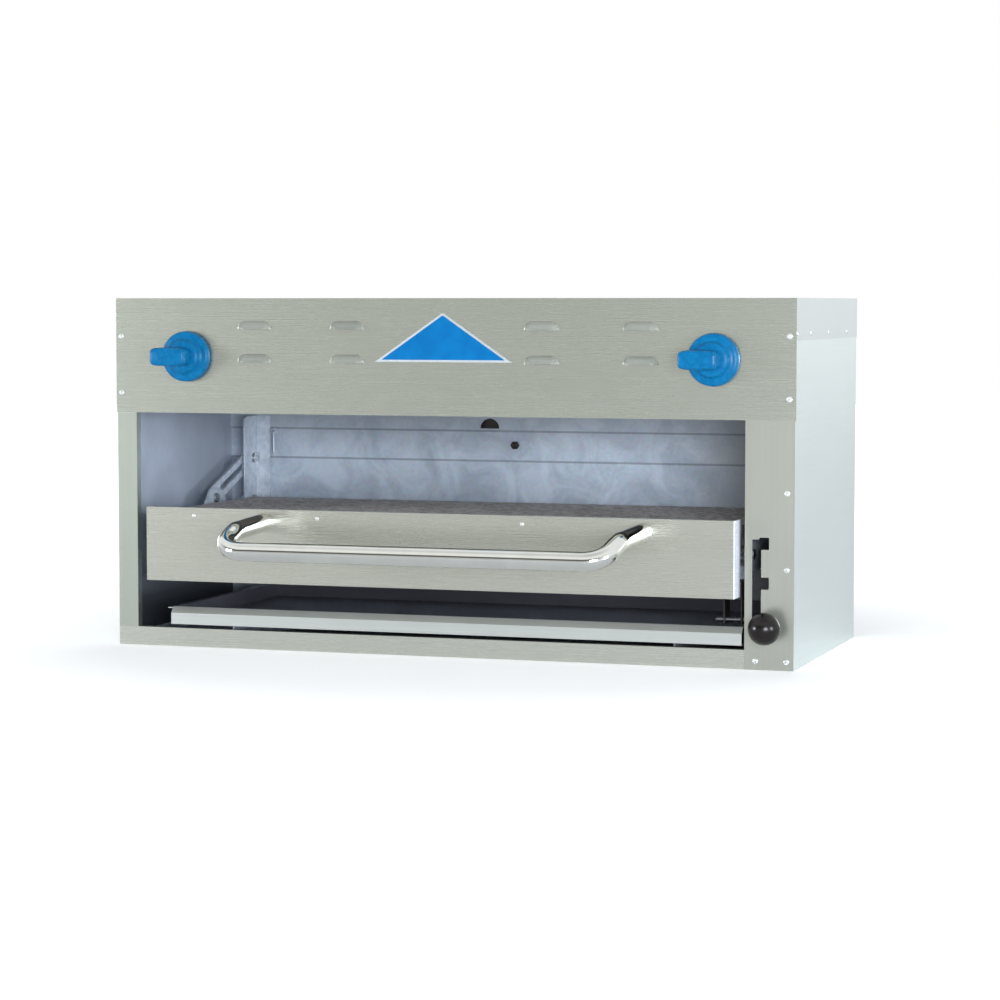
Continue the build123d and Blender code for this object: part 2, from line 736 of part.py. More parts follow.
with BuildPart() as roller_axles:
    for hand in (-1, 1):
        outline = [
            (-3.0, 0.0),
            (-3.0, 6.5),
            (0.0, 6.5),
            (0.0, axle_r),
            (17.0, axle_r),
            (17.0, 6.5),
            (20.0, 6.5),
            (20.0, 0.0),
        ]
        with BuildSketch(Plane.XY.offset(roller_z)):
            with BuildLine():
                Polyline(
                    *[(rack_mid + hand * (rail_half - a), roller_y + r) for a, r in outline],
                    close=True,
                )
            make_face()
        revolve(axis=Axis((0, roller_y, roller_z), (1, 0, 0)))
finish(roller_axles, "roller_axles")

# Rear rollers: they hang on the rack's side bars and run between the rail's lips.
with BuildPart() as rack_rollers:
    for hand in (-1, 1):
        mid = rack_mid + hand * (rack_rail_half + 4.9)
        with Locations((mid, rack_roller_y, rack_roller_z)):
            Cylinder(rack_roller_r, 7.0, rotation=(0, 90, 0))
            Cylinder(axle_r + running, 8.0, rotation=(0, 90, 0), mode=Mode.SUBTRACT)
finish(rack_rollers, "rack_rollers")

with BuildPart() as rack_axles:
    for hand in (-1, 1):
        outline = [
            (-bar - 2.0, 0.0),
            (-bar - 2.0, 6.5),
            (-bar, 6.5),
            (-bar, axle_r),
            (8.9, axle_r),
            (8.9, 0.0),
        ]
        with BuildSketch(Plane.XY.offset(rack_roller_z)):
            with BuildLine():
                Polyline(
                    *[(rack_mid + hand * (rack_rail_half + a), rack_roller_y + r) for a, r in outline],
                    close=True,
                )
            make_face()
        revolve(axis=Axis((0, rack_roller_y, rack_roller_z), (1, 0, 0)))
finish(rack_axles, "rack_axles")

# ================================================================ broil rack
# Frame: side bars from the front panel back, joined by a bar at each end of the grid.
bar_top = grid_top - 2 * wire_r
rack_left = rack_mid - rack_rail_half
rack_right = rack_mid + rack_rail_half
grid_front = face_y + sheet + 9.0
grid_length = rack_back - grid_front
grid_y = (grid_front + rack_back) / 2
with BuildPart() as rack_frame:
    with BuildSketch(Plane.XY.offset(rail_foot)):
        with Locations((rack_mid, grid_y)):
            Rectangle(rack_right - rack_left, grid_length)
            Rectangle(rack_right - rack_left - 2 * bar, grid_length - 2 * bar, mode=Mode.SUBTRACT)
        for x in (rack_left + bar / 2, rack_right - bar / 2):
            with Locations((x, (face_y + sheet + grid_front) / 2)):
                Rectangle(bar, grid_front - face_y - sheet)
    extrude(amount=bar_top - rail_foot)
    for x in (rack_left, rack_right - bar):
        block(x, x + bar, face_y + sheet, rack_back, bar_top, grid_top)
    with BuildSketch(Plane.YZ.offset(rack_left - 1)):
        with Locations((rack_roller_y, rack_roller_z)):
            Circle(axle_r + running)
    extrude(amount=rack_right - rack_left + 2, mode=Mode.SUBTRACT)
finish(rack_frame, "rack_frame")

# Grid: wires from end to end on rods that run from front to back.
wire_count = int((grid_length - 2 * bar - 2 * wire_r) / wire_pitch) + 1
rod_count = int(2 * rack_rail_half / cross_pitch)
with BuildPart() as rack_grid:
    with Locations((rack_mid, grid_y, grid_top - wire_r)):
        with GridLocations(1, wire_pitch, 1, wire_count):
            Cylinder(wire_r, 2 * (rack_rail_half - bar), rotation=(0, 90, 0))
    with Locations((rack_mid, grid_y, bar_top - cross_r + seat)):
        with GridLocations(cross_pitch, 1, rod_count, 1):
            Cylinder(cross_r, grid_length - 2 * bar, rotation=(90, 0, 0))
finish(rack_grid, "rack_grid")

# Front panel: a deep face with returned ends and a hem along the top and the foot.
with BuildPart() as rack_front_panel:
    with BuildSketch(Plane.XY.offset(face_foot)):
        folded(
            [
                (face_left, face_y + face_return),
                (face_left, face_y),
                (face_right, face_y),
                (face_right, face_y + face_return),
            ],
            sheet,
            Side.LEFT,
        )
    extrude(amount=face_top - face_foot)
    for z in (face_foot, face_top - sheet):
        block(face_left + sheet, face_right - sheet, face_y + sheet, face_y + 11, z, z + sheet)
    with BuildSketch(Plane.XZ.offset(-face_y + 1)):
        with Locations(*[(x, handle_base_z) for x in handle_base]):
            Circle(4.2)
    extrude(amount=-3 * sheet, mode=Mode.SUBTRACT)
finish(rack_front_panel, "rack_front_panel")

# Small round heads along the panel's top edge.
head_x = (-338.0, -165.0, 112.0)
with BuildPart() as panel_rivets:
    with BuildSketch(Plane.XZ.offset(-face_y)):
        with Locations(*[(x, face_top - 10.5) for x in head_x]):
            Circle(2.6)
    extrude(amount=1.2, taper=25)
finish(panel_rivets, "panel_rivets")

# Handle: a bent tube that leaves the panel level, dips at its knees and runs across.
knee_y = face_y - handle_knee_reach
bar_y = face_y - handle_reach
with BuildPart() as handle:
    with BuildLine() as handle_line:
        FilletPolyline(
            (handle_base[0], face_y, handle_base_z),
            (handle_knee[0], knee_y, handle_knee_z),
            (handle_corner[0], bar_y, handle_bar_z),
            (handle_corner[1], bar_y, handle_bar_z),
            (handle_knee[1], knee_y, handle_knee_z),
            (handle_base[1], face_y, handle_base_z),
            radius=handle_bend,
        )
    with BuildSketch(Plane(handle_line.line @ 0, z_dir=handle_line.line % 0)):
        Circle(handle_r)
    sweep()
    with BuildSketch(Plane(handle_line.line @ 0, z_dir=handle_line.line % 0)):
        Circle(handle_r - 1.5)
    sweep(path=handle_line.line, mode=Mode.SUBTRACT)
    split(bisect_by=Plane.XZ.offset(-face_y), keep=Keep.TOP)
finish(handle, "handle")

# Bolts behind the panel and the round pads that they draw against it.
with BuildPart() as handle_bolts:
    for x in handle_base:
        with BuildSketch(Plane.XZ.offset(-face_y - sheet - 5)):
            with Locations((x, handle_base_z)):
                RegularPolygon(7.5, 6)
        extrude(amount=5)
        with BuildSketch(Plane.XZ.offset(-face_y - sheet)):
            with Locations((x, handle_base_z)):
                Circle(4.0)
        extrude(amount=sheet + 8)
        with BuildSketch(Plane.XZ.offset(-face_y)):
            with Locations((x, handle_base_z)):
                Circle(9.0)
        extrude(amount=4)
finish(handle_bolts, "handle_bolts")

# ================================================================ height latch
rod_r = 3.5
rod_z = 58.0
rod_y = front + 30.0
rod_turn_x = slot_x + 5.5
rod_left = rod_turn_x - 58.0
ball_r = 20.0
ball_at = (rod_turn_x + 16.4, front - 28.0, rod_z - 4.0)
ear_left = rod_left + 11.0
ear_right = ear_left + 24.0
ear_foot = rod_z - rod_r - 2.0
with BuildPart() as latch_bracket:
    with BuildSketch(Plane.XZ.offset(-rod_y + 8)):
        with BuildLine():
            Polyline(
                (ear_left, ear_foot),
                (ear_left, bar_foot),
                (ear_right, bar_foot),
                (ear_right, ear_foot),
                (ear_right - plate, ear_foot),
                (ear_right - plate, bar_foot - plate),
                (ear_left + plate, bar_foot - plate),
                (ear_left + plate, ear_foot),
                close=True,
            )
        make_face()
    extrude(amount=-26)
    with Locations(((ear_left + ear_right) / 2, rod_y, rod_z)):
        Cylinder(rod_r + running, 40, rotation=(0, 90, 0), mode=Mode.SUBTRACT)
finish(latch_bracket, "latch_bracket")

with BuildPart() as latch_rod:
    with BuildLine() as rod_line:
        FilletPolyline(
            (rod_left, rod_y, rod_z),
            (rod_turn_x, rod_y, rod_z),
            (rod_turn_x, front - 5.0, rod_z),
            ball_at,
            radius=5,
        )
    with BuildSketch(Plane(rod_line.line @ 0, z_dir=rod_line.line % 0)):
        Circle(rod_r)
    sweep()
    with Locations(ball_at):
        Sphere(ball_r - 3, mode=Mode.SUBTRACT)
finish(latch_rod, "latch_rod")

with BuildPart() as ball_knob:
    with Locations(ball_at):
        Sphere(ball_r)
    with BuildSketch(Plane(ball_at, z_dir=rod_line.line % 1)):
        Circle(rod_r + running)
    extrude(amount=-2 * ball_r, mode=Mode.SUBTRACT)
    with Locations(ball_at):
        Sphere(ball_r - 3)
finish(ball_knob, "ball_knob")

# ================================================================ drip tray
tray_left = opening_left + 50.5
tray_right = opening_right - 10.0
tray_lip_right = opening_right - 3.0
tray_front = front + 4.0
tray_back = 165.0
tray_foot = guide_top + seat
tray_top = 50.8
with BuildPart() as drip_tray:
    block(tray_left, tray_right, tray_front, tray_back, tray_foot, tray_top)
    offset(amount=-sheet, openings=drip_tray.faces().sort_by(Axis.Z)[-1])
    block(tray_left - 9, tray_left, tray_front, tray_back, tray_top - sheet, tray_top)
    block(tray_right, tray_right + 7, tray_front, tray_back, tray_top - sheet, tray_top)
    block(tray_left, tray_right, tray_back - sheet - 1, tray_back + 1, tray_top - 3, tray_top + 1, Mode.SUBTRACT)
    with BuildSketch(Plane.YZ.offset(tray_left - 2)):
        folded(
            [
                (tray_front + sheet, tray_top + 1.2),
                (tray_front - 6, 44.0),
                (tray_front - 6, tray_foot - 1),
                (tray_front + sheet, tray_foot - 1),
            ],
            sheet,
            Side.LEFT,
        )
    extrude(amount=tray_lip_right - tray_left + 2)
finish(drip_tray, "drip_tray")

# ================================================================ fasteners
screw_r = 3.8
screw_high = 1.8
stile_screw_z = (10.5, 124.0, 218.5)
front_spots = (
    (7.4 - half, height - 50.0),
    (7.4 - half, height - 124.0),
    (half - 8.2, height - 47.0),
    (half - 8.2, height - 124.0),
    (half - 10.2, stile_screw_z[2]),
    (half - 10.2, stile_screw_z[1]),
    (half - 10.2, stile_screw_z[0]),
    (half - 49.2, stile_screw_z[0]),
)
with BuildPart() as front_screws:
    with BuildSketch(Plane.XZ.offset(-front)):
        with Locations(*front_spots):
            Circle(screw_r)
    extrude(amount=screw_high, taper=25)
finish(front_screws, "front_screws")

lap_mid = height - 0.83 * lap
side_spots = [(front + share * depth, lap_mid) for share in (0.016, 0.221, 0.505, 0.815)]
with BuildPart() as side_screws:
    for hand in (-1, 1):
        with BuildSketch(Plane(origin=(hand * half, 0, 0), x_dir=(0, 1, 0), z_dir=(hand, 0, 0))):
            with Locations(*[(y, hand * z) for y, z in side_spots]):
                Circle(screw_r)
        extrude(amount=screw_high, taper=25)
finish(side_screws, "side_screws")
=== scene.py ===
import math

import bmesh
import bpy
import numpy as np
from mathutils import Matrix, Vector


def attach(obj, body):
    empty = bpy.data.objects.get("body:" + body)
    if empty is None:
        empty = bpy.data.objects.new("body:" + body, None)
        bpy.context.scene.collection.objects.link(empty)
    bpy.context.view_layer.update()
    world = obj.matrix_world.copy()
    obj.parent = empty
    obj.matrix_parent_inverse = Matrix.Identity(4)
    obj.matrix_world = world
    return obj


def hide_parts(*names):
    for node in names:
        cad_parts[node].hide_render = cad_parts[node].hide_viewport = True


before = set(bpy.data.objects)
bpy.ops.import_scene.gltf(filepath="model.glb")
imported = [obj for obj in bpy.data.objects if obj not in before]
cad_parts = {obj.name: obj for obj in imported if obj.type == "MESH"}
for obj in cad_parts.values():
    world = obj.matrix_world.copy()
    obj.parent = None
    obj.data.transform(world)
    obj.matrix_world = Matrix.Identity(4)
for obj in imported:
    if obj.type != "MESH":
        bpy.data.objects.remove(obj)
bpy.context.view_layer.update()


# ---------------------------------------------------------------- casing
# The outer sheets are 1.2 mm stainless steel, grade 304, folded on a brake and ground with a belt,
# so each shows fine straight grain along its length. They are screwed together at the front and sides.
def linear(colour):
    """An sRGB hex colour as linear RGBA: c/12.92 below 0.04045, else ((c + 0.055)/1.055)^2.4."""
    channels = [int(colour[i : i + 2], 16) / 255 for i in (1, 3, 5)]
    return [c / 12.92 if c <= 0.04045 else ((c + 0.055) / 1.055) ** 2.4 for c in channels] + [1.0]


def start_material(name):
    """An empty node material of that name."""
    material = bpy.data.materials.new(name)
    material.use_nodes = True
    material.node_tree.nodes.clear()
    return material


def add_node(material, kind, settings=None, links=None):
    """Adds one node.

    Settings name its properties, or else its sockets. Links join its sockets to other nodes' outputs.
    """
    node = material.node_tree.nodes.new("ShaderNode" + kind)
    for key, value in (settings or {}).items():
        if isinstance(key, str) and hasattr(node, key):
            setattr(node, key, value)
        else:
            node.inputs[key].default_value = value
    for key, source in (links or {}).items():
        material.node_tree.links.new(source, node.inputs[key])
    return node


def two_tones(material, factor, low, high, at=(0.0, 1.0)):
    """A ramp from the linear colour low to high, as factor goes from at[0] to at[1]."""
    ramp = add_node(material, "ValToRGB", {}, {"Fac": factor})
    for index, (position, colour) in enumerate(zip(at, (low, high))):
        ramp.color_ramp.elements[index].position = position
        ramp.color_ramp.elements[index].color = colour
    return ramp


def give(material, *names):
    """Puts one material on every slot of the named solids."""
    for name in names:
        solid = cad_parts[name]
        if not solid.material_slots:
            solid.data.materials.append(material)
        for place in solid.material_slots:
            place.link = "OBJECT"
            place.material = material


def ground_steel(name, light, dark, grain, line_mm, roughness, smear_mm=130.0, stain=0.35, patch=None):
    """Belt-ground sheet: streaks line_mm wide, long along the grain, over soft smears of smear_mm.

    patch = (axis, centre, reach, colour, shadow top) is dull instead, where |place - centre| < reach.
    Below the shadow top a painted shadow darkens it, its tone falling to a tenth over 75 mm.
    """
    material = start_material(name)
    place = add_node(material, "TexCoord")
    # true belt grain is far finer than a pixel, so it is drawn at line_mm
    along = [4.0 if axis == grain else 1000.0 / line_mm for axis in range(3)]
    streaks = add_node(material, "Mapping", {"Scale": along}, {"Vector": place.outputs["Object"]})
    lines = add_node(
        material,
        "TexNoise",
        {"Scale": 1.0, "Detail": 3.0, "Roughness": 0.6},
        {"Vector": streaks.outputs["Vector"]},
    )
    smears = add_node(
        material,
        "TexNoise",
        {"Scale": 1000.0 / smear_mm, "Detail": 4.0, "Roughness": 0.55, "Distortion": 0.4},
        {"Vector": place.outputs["Object"]},
    )
    mixed = add_node(
        material,
        "Mix",
        {"data_type": "FLOAT", 0: stain},
        {2: lines.outputs["Fac"], 3: smears.outputs["Fac"]},
    )
    tone = two_tones(material, mixed.outputs[0], linear(dark), linear(light), (0.34, 0.66))
    colour = tone.outputs["Color"]
    matt = add_node(
        material,
        "MapRange",
        {"From Min": 0.3, "From Max": 0.7, "To Min": roughness - 0.01, "To Max": roughness + 0.015},
        {"Value": mixed.outputs[0]},
    )
    links = {}
    # on several sheets the patch's flat colour is painted shade or a painted highlight, such as on the
    # louvres and the rack panel's lit end
    if patch:
        axis, centre, reach, dull, painted_shadow_z = patch
        parts = add_node(material, "SeparateXYZ", {}, {"Vector": place.outputs["Object"]})
        within = add_node(
            material,
            "Math",
            {"operation": "COMPARE", 1: centre, 2: reach},
            {0: parts.outputs[axis]},
        )
        patch_tone = two_tones(
            material,
            smears.outputs["Fac"],
            [0.8 * c for c in linear(dull)[:3]] + [1.0],
            linear(dull),
            (0.35, 0.65),
        )
        # a painted shadow: below the given top the patch darkens to a tenth, for the shade under the
        # rack
        shadow_fade = add_node(
            material,
            "MapRange",
            {"From Min": painted_shadow_z - 0.075, "From Max": painted_shadow_z, "To Min": 0.1, "To Max": 1.0},
            {"Value": parts.outputs["Z"]},
        )
        shadowed_patch = add_node(
            material,
            "Mix",
            {"data_type": "RGBA", "blend_type": "MULTIPLY", 0: 1.0},
            {6: patch_tone.outputs["Color"], 7: shadow_fade.outputs["Result"]},
        )
        both = add_node(
            material,
            "Mix",
            {"data_type": "RGBA"},
            {0: within.outputs[0], 6: colour, 7: shadowed_patch.outputs[2]},
        )
        colour = both.outputs[2]
        patch_metallic = add_node(
            material,
            "Math",
            {"operation": "MULTIPLY_ADD", 1: -0.85, 2: 0.9},
            {0: within.outputs[0]},
        )
        links["Metallic"] = patch_metallic.outputs[0]
    relief = add_node(
        material,
        "Bump",
        {"Strength": 0.005, "Distance": 0.0002},
        {"Height": lines.outputs["Fac"]},
    )
    surface = add_node(
        material,
        "BsdfPrincipled",
        {"Metallic": 0.9},
        {
            "Base Color": colour,
            "Roughness": matt.outputs["Result"],
            "Normal": relief.outputs["Normal"],
        }
        | links,
    )
    add_node(material, "OutputMaterial", {}, {"Surface": surface.outputs["BSDF"]})
    return material


# the sheets are one steel, but each one's two tones are set to how light falls on it: painted light,
# with the side sheets much lighter than the front and the bottom rail lighter too
x_axis, y_axis, z_axis = 0, 1, 2
# the louvres' faces, out in front of the panel, get a dull darker grey than the panel: a painted shade
# in place of the bright reflection their tilted faces would show
louvre_y, louvre_reach = -0.2, 0.0088
front_steel = ground_steel(
    "ground_stainless_front",
    "#BEC1B5",
    "#BCBFB3",
    x_axis,
    1.6,
    0.27,
    patch=(y_axis, louvre_y, louvre_reach, "#90948A", 0.0),
)
give(front_steel, "control_panel")
rail_steel = ground_steel("ground_stainless_rail", "#D1D3C8", "#CFD1C6", x_axis, 1.6, 0.27)
give(rail_steel, "bottom_rail")
left_steel = ground_steel("ground_stainless_left_stile", "#BEC4B8", "#B9BFB3", z_axis, 1.6, 0.29)
give(left_steel, "left_stile")
stile_steel = ground_steel("ground_stainless_stile", "#C3C5BA", "#BEC0B5", z_axis, 1.6, 0.29)
give(stile_steel, "right_stile")
# inside, the side and back sheets are dull, and low down both sides get a painted shadow, darker
# towards the floor, for the shade under the rack
inner_x, inner_y, under_rack_shadow_top = 0.4553, 0.1892, 0.13
side_steel = ground_steel(
    "ground_stainless_side",
    "#F1F8F6",
    "#EDF4F2",
    y_axis,
    2.0,
    0.4,
    patch=(x_axis, 0.0, inner_x, "#B4BECC", under_rack_shadow_top),
)
give(side_steel, "left_side_panel")
# the right side sheet's inside is a dark grey where the left one's is light: a painted shade
right_steel = ground_steel(
    "ground_stainless_right_side",
    "#F1F8F6",
    "#EDF4F2",
    y_axis,
    2.0,
    0.4,
    patch=(x_axis, 0.0, inner_x, "#3E444B", under_rack_shadow_top),
)
give(right_steel, "right_side_panel")
cover_steel = ground_steel(
    "ground_stainless_cover",
    "#E6EBEA",
    "#E0E6E5",
    x_axis,
    2.0,
    0.38,
    smear_mm=200.0,
)
give(cover_steel, "top_cover")
back_steel = ground_steel(
    "ground_stainless_back",
    "#E6EBEA",
    "#E0E6E5",
    x_axis,
    2.0,
    0.38,
    200.0,
    patch=(y_axis, 0.0, inner_y, "#2E2824", 0.0),
)
give(back_steel, "back_panel")

# ---------------------------------------------------------------- casing screws
# Zinc-plated pan-head machine screws, 7.6 mm across, with a cross recess.
# They hold the front and the lapped cover.
zinc_head = start_material("zinc_plated_screw_head")
place = add_node(zinc_head, "TexCoord")
grain = add_node(
    zinc_head,
    "TexNoise",
    {"Scale": 900.0, "Detail": 2.0},
    {"Vector": place.outputs["Object"]},
)
tone = two_tones(zinc_head, grain.outputs["Fac"], linear("#C6CAC5"), linear("#DBDFDA"))
surface = add_node(
    zinc_head,
    "BsdfPrincipled",
    {"Metallic": 0.6, "Roughness": 0.36},
    {"Base Color": tone.outputs["Color"]},
)
add_node(zinc_head, "OutputMaterial", {}, {"Surface": surface.outputs["BSDF"]})


def surface_piece(name, sheets, materials, smooth=True):
    """A mesh of grid surfaces, each (rows x columns x 3 points, material index, closed or not).

    Cell (i, j) joins points (i, j), (i, j+1), (i+1, j+1) and (i+1, j).
    A closed sheet's last column meets its first.
    """
    corners, cells, marks, first = [], [], [], 0
    for points, index, closed in sheets:
        rows, columns = points.shape[:2]
        i, j = np.meshgrid(
            np.arange(rows - 1),
            np.arange(columns if closed else columns - 1),
            indexing="ij",
        )
        k = (j + 1) % columns
        quads = np.stack(
            [i * columns + j, i * columns + k, (i + 1) * columns + k, (i + 1) * columns + j],
            axis=-1,
        )
        corners.append(points.reshape(-1, 3))
        cells.append(quads.reshape(-1, 4) + first)
        marks.append(np.full(quads.size // 4, index))
        first += rows * columns
    mesh = bpy.data.meshes.new(name)
    mesh.from_pydata(np.concatenate(corners).tolist(), [], np.concatenate(cells).tolist())
    for material in materials:
        mesh.materials.append(material)
    mesh.polygons.foreach_set("material_index", np.concatenate(marks).astype(np.int32))
    mesh.polygons.foreach_set("use_smooth", np.full(len(mesh.polygons), smooth))
    weld = bmesh.new()
    weld.from_mesh(mesh)
    bmesh.ops.remove_doubles(weld, verts=weld.verts, dist=1e-6)
    bmesh.ops.recalc_face_normals(weld, faces=weld.faces)
    weld.to_mesh(mesh)
    weld.free()
    mesh.validate()
    piece = bpy.data.objects.new(name, mesh)
    bpy.context.scene.collection.objects.link(piece)
    return piece


def screw_head(centre, out, radius=0.0038, high=0.0018):
    """A pan head of height high*(1 - (r/R)^2.6)^0.5, with a cross recess 0.55*high deep.

    The recess's bars are 0.2 R wide at the bottom and 0.3 R at the top, and end at 0.62 R.
    """
    turn = np.linspace(0, 2 * np.pi, 48, endpoint=False)
    reach = np.array([0.0, 0.1, 0.2, 0.3, 0.38, 0.46, 0.55, 0.65, 0.76, 0.86, 0.94, 1.0])
    r, t = np.meshgrid(reach, turn, indexing="ij")
    height = high * np.sqrt(np.clip(1 - r**2.6, 0, 1))
    narrow = np.minimum(np.abs(r * np.sin(t)), np.abs(r * np.cos(t)))
    cross = np.clip((0.15 - narrow) / 0.05, 0, 1) * np.clip((0.62 - r) / 0.08, 0, 1)
    height = height - 0.55 * high * cross
    out = np.array(out, float)
    side = np.cross(out, (0.0, 0.0, 1.0))
    up = np.cross(side, out)
    lean = 0.4 + 7.0 * centre[0] + 11.0 * centre[2]  # each screw stopped at its own angle
    flat = radius * r
    across = flat * np.cos(t + lean)
    along = flat * np.sin(t + lean)
    return np.array(centre) + across[..., None] * side + along[..., None] * up + height[..., None] * out


half, depth = 0.4572, 0.380
front = -depth / 2
# x and z of each head
front_heads = [
    (-half + 0.0074, 0.408),
    (-half + 0.0074, 0.334),
    (half - 0.0082, 0.411),
    (half - 0.0082, 0.334),
    (half - 0.0102, 0.2185),
    (half - 0.0102, 0.124),
    (half - 0.0102, 0.0105),
    (half - 0.0492, 0.0105),
]
heads = [(screw_head((x, front, z), (0, -1, 0)), 0, True) for x, z in front_heads]
front_screw_heads = surface_piece("front_screw_heads", heads, [zinc_head])
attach(front_screw_heads, "casing")
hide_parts("front_screws")

side_head_z = 0.41484
side_shares = (0.016, 0.221, 0.505, 0.815)  # of the depth, from the front
side_heads = [(hand, front + share * depth) for hand in (-1, 1) for share in side_shares]
heads = [(screw_head((hand * half, y, side_head_z), (hand, 0, 0)), 0, True) for hand, y in side_heads]
side_screw_heads = surface_piece("side_screw_heads", heads, [zinc_head])
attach(side_screw_heads, "casing")
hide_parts("side_screws")

# ---------------------------------------------------------------- inner sheets
# The liner, base pan, burner deck and shield are aluminised steel: dull blue-grey with cloudy heat
# stains and a fine spangle. The deck above the rack is browned by the burners.
def clouded_steel(name, light, dark, burnt, heat_z, laps=(), roughness=0.42, cloud_mm=60.0):
    """Aluminised sheet: two greys clouded by noise of cloud_mm, over a 4 mm spangle.

    It is browned near z = heat_z. Towards its right end it is browned and darkened, partly a stain and
    partly a painted shade from the right stile, and under each lap it has a painted shadow line 3 mm
    high.
    """
    material = start_material(name)
    place = add_node(material, "TexCoord")
    clouds = add_node(
        material,
        "TexNoise",
        {"Scale": 1000.0 / cloud_mm, "Detail": 6.0, "Roughness": 0.62, "Distortion": 0.8},
        {"Vector": place.outputs["Object"]},
    )
    spangle = add_node(material, "TexVoronoi", {"Scale": 250.0}, {"Vector": place.outputs["Object"]})
    tone = two_tones(material, clouds.outputs["Fac"], linear(dark), linear(light), (0.38, 0.62))
    grey = add_node(
        material,
        "Mix",
        {"data_type": "RGBA", "blend_type": "SOFT_LIGHT", 0: 0.12},
        {6: tone.outputs["Color"], 7: spangle.outputs["Color"]},
    )
    level = add_node(material, "SeparateXYZ", {}, {"Vector": place.outputs["Object"]})
    heat = add_node(
        material,
        "MapRange",
        {"From Min": heat_z - 0.07, "From Max": heat_z, "To Min": 0.0, "To Max": 0.6},
        {"Value": level.outputs["Z"]},
    )
    # towards the right end the sheet browns and darkens: partly a stain, partly a painted shade where
    # the right stile shades the liner
    end = add_node(
        material,
        "MapRange",
        {"From Min": 0.22, "From Max": 0.38, "To Min": 0.0, "To Max": 1.7},
        {"Value": level.outputs["X"]},
    )
    most = add_node(
        material,
        "Math",
        {"operation": "MAXIMUM"},
        {0: heat.outputs["Result"], 1: end.outputs["Result"]},
    )
    browned = add_node(
        material,
        "Math",
        {"operation": "MULTIPLY"},
        {0: most.outputs[0], 1: clouds.outputs["Fac"]},
    )
    colour = add_node(
        material,
        "Mix",
        {"data_type": "RGBA", 7: linear(burnt)},
        {0: browned.outputs[0], 6: grey.outputs[2]},
    )
    lap_shadow_half = 0.0015  # half the height of a painted shadow line under a lap
    # each lap gets a dark line under it, a painted shadow of the lap's step
    for lap_z in laps:
        lap_line = add_node(
            material,
            "Math",
            {"operation": "COMPARE", 1: lap_z - lap_shadow_half, 2: lap_shadow_half},
            {0: level.outputs["Z"]},
        )
        lap_shade = add_node(material, "Math", {"operation": "MULTIPLY", 1: 0.45}, {0: lap_line.outputs[0]})
        colour = add_node(
            material,
            "Mix",
            {"data_type": "RGBA", 7: linear("#4A4E55")},
            {0: lap_shade.outputs[0], 6: colour.outputs[2]},
        )
    matt = add_node(
        material,
        "MapRange",
        {"From Min": 0.3, "From Max": 0.7, "To Min": roughness - 0.08, "To Max": roughness + 0.12},
        {"Value": clouds.outputs["Fac"]},
    )
    relief = add_node(
        material,
        "Bump",
        {"Strength": 0.2, "Distance": 0.0006},
        {"Height": clouds.outputs["Fac"]},
    )
    surface = add_node(
        material,
        "BsdfPrincipled",
        {"Metallic": 0.1},
        {
            "Base Color": colour.outputs[2],
            "Roughness": matt.outputs["Result"],
            "Normal": relief.outputs["Normal"],
        },
    )
    add_node(material, "OutputMaterial", {}, {"Surface": surface.outputs["BSDF"]})
    return material


liner_laps = (0.2740, 0.2320)
liner_steel = clouded_steel("aluminised_liner", "#C8D4E0", "#ABB7C4", "#82766A", 0.308, liner_laps)
give(liner_steel, "back_liner", "base_pan", "tray_guides", "heat_shield", "tile_clips")
deck_steel = clouded_steel("aluminised_deck_heated", "#9C9B98", "#6F6C69", "#574839", 0.33)
give(deck_steel, "burner_deck")

# ---------------------------------------------------------------- badge
# A bare triangular plate of pressed aluminium with a bright rim.
# Its field is filled with blue enamel and left plain.
badge_rim = start_material("bright_aluminium_rim")
place = add_node(badge_rim, "TexCoord")
wear = add_node(
    badge_rim,
    "TexNoise",
    {"Scale": 300.0, "Detail": 3.0},
    {"Vector": place.outputs["Object"]},
)
tone = two_tones(badge_rim, wear.outputs["Fac"], linear("#C4CBCE"), linear("#E2E7E8"))
surface = add_node(
    badge_rim,
    "BsdfPrincipled",
    {"Metallic": 0.7, "Roughness": 0.35},
    {"Base Color": tone.outputs["Color"]},
)
add_node(badge_rim, "OutputMaterial", {}, {"Surface": surface.outputs["BSDF"]})

blue_enamel = start_material("blue_badge_enamel")
place = add_node(blue_enamel, "TexCoord")
flow = add_node(
    blue_enamel,
    "TexNoise",
    {"Scale": 60.0, "Detail": 4.0},
    {"Vector": place.outputs["Object"]},
)
tone = two_tones(blue_enamel, flow.outputs["Fac"], linear("#06629D"), linear("#0A6DA9"), (0.3, 0.7))
ripple = add_node(
    blue_enamel,
    "Bump",
    {"Strength": 0.06, "Distance": 0.0003},
    {"Height": flow.outputs["Fac"]},
)
surface = add_node(
    blue_enamel,
    "BsdfPrincipled",
    {"Roughness": 0.25, "Specular IOR Level": 0.12},
    {"Base Color": tone.outputs["Color"], "Normal": ripple.outputs["Normal"]},
)
add_node(blue_enamel, "OutputMaterial", {}, {"Surface": surface.outputs["BSDF"]})


